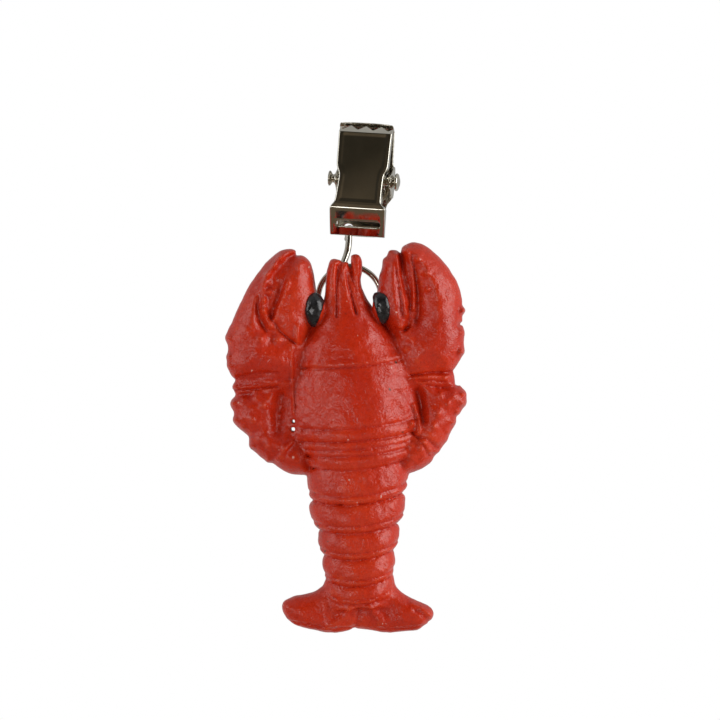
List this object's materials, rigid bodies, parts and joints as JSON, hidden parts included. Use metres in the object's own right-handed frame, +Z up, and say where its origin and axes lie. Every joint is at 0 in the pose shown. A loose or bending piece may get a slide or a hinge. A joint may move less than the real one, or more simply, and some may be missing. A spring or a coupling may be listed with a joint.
{
  "type": "tablecloth weight",
  "caption": "Cast resin lobster hung by a wire ring and hook from a sprung sheet-metal clip that grips a cloth edge.",
  "frame": {"origin": "middle of the clip's closed jaws, on the line where a cloth edge is gripped", "axes": "+Z up, opposite to the way the lobster hangs; -Y the lobster's front; +X to the right of someone facing its front"},
  "size_m": [0.0433, 0.015, 0.0902],
  "materials": {
    "red_resin": "satin, fine wrinkled cast skin",
    "black_enamel": "gloss",
    "nickel_sheet": "polished nickel plate",
    "nickel_wire": "drawn wire, nickel plated"
  },
  "bodies": {
    "clip_back": {"clip_back_lever": "nickel_sheet", "pivot_pin": "nickel_sheet", "torsion_spring": "nickel_wire"},
    "clip_front": {"clip_front_lever": "nickel_sheet"},
    "hook": {"wire_hook": "nickel_wire"},
    "ring": {"hanging_ring": "nickel_wire"},
    "lobster": {"lobster_casting": "red_resin", "left_eye": "black_enamel", "right_eye": "black_enamel", "cast_in_eyelet": "nickel_wire"}
  },
  "joints": [
    {"name": "clip_open", "type": "hinge", "parent": "clip_back", "child": "clip_front", "pos_m": [-0.00108, 0, -0.00949], "axis": [0.9785, -0.1736, -0.1115], "range_deg": [0, 14], "stiffness_Nm_per_rad": 0.03, "springref_deg": -28.65, "deforming": ["torsion_spring"]},
    {"name": "hook_swing", "type": "hinge", "parent": "clip_back", "child": "hook", "pos_m": [-0.00426, 0.00416, -0.01878], "axis": [0.9785, -0.1736, -0.1115], "range_deg": [-6, 12]},
    {"name": "ring_swing", "type": "hinge", "parent": "hook", "child": "ring", "pos_m": [-0.00563, 0.0017, -0.02464], "axis": [0, 1, 0], "range_deg": [-7, 10]},
    {"name": "lobster_swing", "type": "hinge", "parent": "ring", "child": "lobster", "pos_m": [-0.00448, 0.0017, -0.03567], "axis": [1, 0, 0], "range_deg": [-2, 60]}
  ]
}
